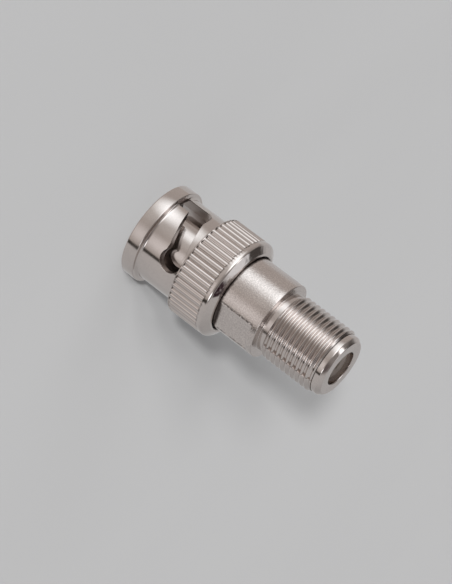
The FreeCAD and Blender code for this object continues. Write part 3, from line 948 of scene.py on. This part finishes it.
def make_spring():
    """A strip bent into three waves; the real one flattens as the shell is pulled, this mesh keeps
    its shape.
    """
    middle = SEAT_BACK + SPRING_HEIGHT / 2
    swing = (SPRING_HEIGHT - SPRING_STRIP) / 2 - SPRING_GAP
    spring = lathe("wave_spring_strip", softened([
        (LIP_BORE, -SPRING_STRIP / 2, 0.05),
        (SEAT_RIM, -SPRING_STRIP / 2, 0.05),
        (SEAT_RIM, SPRING_STRIP / 2, 0.05),
        (LIP_BORE, SPRING_STRIP / 2, 0.05),
    ]), even(RING_COLUMNS))
    for vertex in spring.data.vertices:
        angle = math.atan2(vertex.co.y, vertex.co.x)
        vertex.co.z += middle + swing * math.cos(SPRING_WAVES * angle)
    finished(spring, spring_steel, "adapter", "wave_spring")
    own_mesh(spring)


# Floor
FLOOR_REACH = 3000.0
FLOOR_LIGHT = (0.394, 0.394, 0.396, 1)
FLOOR_DARK = (0.372, 0.372, 0.374, 1)


def make_floor():
    """A wide pale floor under the part; its mirror image is left to the studio."""
    corners = [(across * FLOOR_REACH, along * FLOOR_REACH, 0)
               for across, along in ((-1, -1), (1, -1), (1, 1), (-1, 1))]
    floor = mesh_object("floor", corners, [(0, 1, 2, 3)])
    material, tree, shader, place = new_material("pale_floor")
    feed(tree, shader, {
        "Base Color": mixed(tree, noise(tree, place, 14.0, 3.0), FLOOR_LIGHT, FLOOR_DARK),
        "Roughness": 0.9,
        "Specular IOR Level": 0.0,
    })
    floor.data.transform(Matrix.Scale(MM, 4))
    floor.data.materials.append(material)
    floor.visible_glossy = False
    floor.visible_shadow = False


# Studio, painted by direction. A height over the table's plane and a share along an axis run
# from -1 to 1. Bands are as for the nickel.
TABLE_NORMAL = (0.1050, -0.9823, -0.1550)
TABLE_UNDER = (0.42, 0.42, 0.42, 1)
TABLE_NEAR = (0.53, 0.53, 0.53, 1)
TABLE_FAR = (0.58, 0.57, 0.565, 1)
ROOM_FRONT = (0.51, 0.47, 0.445, 1)
ROOM_BACK = (0.30, 0.28, 0.27, 1)
UNDER_BAND = (-1.0, -0.75)
TABLE_BAND = (-0.75, 0.0)
SEAM_BAND = (-0.01, 0.01)
ROOM_BAND = (-0.35, 0.65)

# The dark line between table and room
HORIZON = (0.05, 0.045, 0.04, 1)
WIDTH_BAND = (-0.3, 0.7, 0.10, 0.26)
CORE_BAND = (0.4, 1.0, 1.0, 0.0)
SIDE_BAND = (-0.7, 0.1)
REAR_BAND = (-0.1, 0.4)
FADE_BAND = (0.0, 0.5, 1.0, 0.15)
FRONT_FADE_BAND = (-0.9, -0.55, 0.1, 1.0)

# Round patches, dark and bright, each over the ones before it: azimuth, share along +Z,
# reach, core as a share of the reach, colour
PATCHES = [
    (180.0, 0.70, 34.0, 0.45, (0.075, 0.068, 0.064, 1)),
    (-12.0, 0.70, 30.0, 0.45, (0.15, 0.125, 0.125, 1)),
    (-160.0, 0.925, 22.0, 0.6, (0.92, 0.94, 0.97, 1)),
    (49.0, 0.98, 13.5, 0.6, (0.04, 0.022, 0.028, 1)),
    (-84.0, -0.30, 44.0, 0.0, (0.66, 0.64, 0.62, 1)),
    (-102.0, -0.08, 34.0, 0.0, (1.9, 2.0, 2.07, 1)),
    (-21.0, -0.33, 26.0, 0.0, (0.86, 0.83, 0.82, 1)),
    (-6.0, 0.30, 14.0, 0.3, (3.0, 3.1, 3.2, 1)),
    (-120.0, 0.80, 13.0, 0.3, (2.6, 2.65, 2.7, 1)),
    (-90.0, 0.36, 32.0, 0.1, (2.3, 2.35, 2.4, 1)),
]
BACKGROUND = (0.515, 0.515, 0.520, 1)


def towards(azimuth, rise):
    """A direction from its azimuth in degrees and its share along +Z."""
    turn = math.radians(azimuth)
    flat = math.sqrt(1 - rise * rise)
    return math.cos(turn) * flat, math.sin(turn) * flat, rise


def make_world():
    """A grey table on one side, a warm room on the other, and round patches over both."""
    world = bpy.data.worlds.new("studio")
    bpy.context.scene.world = world
    world.use_nodes = True
    tree = world.node_tree
    tree.nodes.clear()
    look = node(tree, "ShaderNodeTexCoord").outputs["Generated"]

    def facing(direction):
        made = node(tree, "ShaderNodeVectorMath", {0: look, 1: direction}, operation="DOT_PRODUCT")
        return made.outputs["Value"]

    def patch(under, azimuth, rise, reach, core, colour):
        """A soft round patch that fades out over its reach in degrees, from its core on."""
        share = ramp(tree, facing(towards(azimuth, rise)), math.cos(math.radians(reach)),
                     math.cos(math.radians(reach * core)))
        return mixed(tree, maths(tree, "POWER", share, 2.0), under, colour)

    height = facing(TABLE_NORMAL)
    along = facing((0, 0, 1))
    table = mixed(tree, ramp(tree, height, *UNDER_BAND), TABLE_UNDER, TABLE_NEAR)
    table = mixed(tree, ramp(tree, height, *TABLE_BAND), table, TABLE_FAR)
    room = mixed(tree, ramp(tree, along, *ROOM_BAND), ROOM_FRONT, ROOM_BACK)
    painted = mixed(tree, ramp(tree, height, *SEAM_BAND), table, room)

    edge = maths(tree, "DIVIDE", maths(tree, "ABSOLUTE", height), ramp(tree, along, *WIDTH_BAND))
    near_side = maths(tree, "MAXIMUM", ramp(tree, facing((1, 0, 0)), *SIDE_BAND),
                      ramp(tree, along, *REAR_BAND))
    fading = maths(tree, "MULTIPLY", ramp(tree, along, *FADE_BAND),
                   ramp(tree, along, *FRONT_FADE_BAND))
    line = maths(tree, "MULTIPLY", ramp(tree, edge, *CORE_BAND),
                 maths(tree, "MULTIPLY", near_side, fading))
    painted = mixed(tree, line, painted, HORIZON)
    for numbers in PATCHES:
        painted = patch(painted, *numbers)

    studio = node(tree, "ShaderNodeBackground", {"Color": painted})
    plain = node(tree, "ShaderNodeBackground", {"Color": BACKGROUND})
    camera_ray = node(tree, "ShaderNodeLightPath").outputs["Is Camera Ray"]
    choice = node(tree, "ShaderNodeMixShader",
                  {0: camera_ray, 1: studio.outputs[0], 2: plain.outputs[0]})
    node(tree, "ShaderNodeOutputWorld", {"Surface": choice.outputs[0]})


# Suns: azimuth, elevation and width in degrees, and strength
SUNS = [(-66.0, 26.0, 9.0, 1.1), (-58.5, 19.5, 5.5, 1.9), (-53.2, 15.8, 2.5, 5.2)]


def make_sun(azimuth, elevation, spread, energy):
    """A soft lamp that throws the part's shadow on the floor and no highlight on it."""
    data = bpy.data.lights.new("soft_lamp", "SUN")
    data.energy = energy
    data.angle = math.radians(spread)
    data.specular_factor = 0.0
    sun = placed("soft_lamp", data)
    rise = math.sin(math.radians(elevation))
    sun.rotation_mode = "QUATERNION"
    sun.rotation_quaternion = Vector(towards(azimuth, rise)).to_track_quat("Z", "Y")
    sun.visible_glossy = False


# Camera, at the photograph's place relative to the part
LENS = 167.3
SENSOR = 36.0
NEAREST = 0.01
FARTHEST = 20.0
CAMERA_PLACE = (209.76, -250.33, 125.61)
CAMERA_RIGHT = (-0.63105, -0.18674, 0.75293)
CAMERA_UP = (-0.48589, -0.66147, -0.57129)
CAMERA_BACK = (0.60472, -0.72635, 0.32668)


def make_camera():
    """The camera, turned so that the standing part seems to lie, as in the photograph."""
    data = bpy.data.cameras.new("camera")
    data.sensor_fit = "AUTO"
    data.sensor_width = SENSOR
    data.lens = LENS
    data.clip_start = NEAREST
    data.clip_end = FARTHEST
    camera = placed("camera", data)
    turn = Matrix((CAMERA_RIGHT, CAMERA_UP, CAMERA_BACK)).transposed().to_4x4()
    camera.matrix_world = Matrix.Translation(Vector(CAMERA_PLACE) * MM) @ turn
    bpy.context.scene.camera = camera


make_body()
make_shell()
make_sleeve()
make_insulators()
make_contact()
make_gasket()
make_washer()
make_spring()
make_floor()
make_world()
for sun_numbers in SUNS:
    make_sun(*sun_numbers)
make_camera()
bpy.context.scene.view_settings.view_transform = "Standard"

bpy.context.view_layer.update()
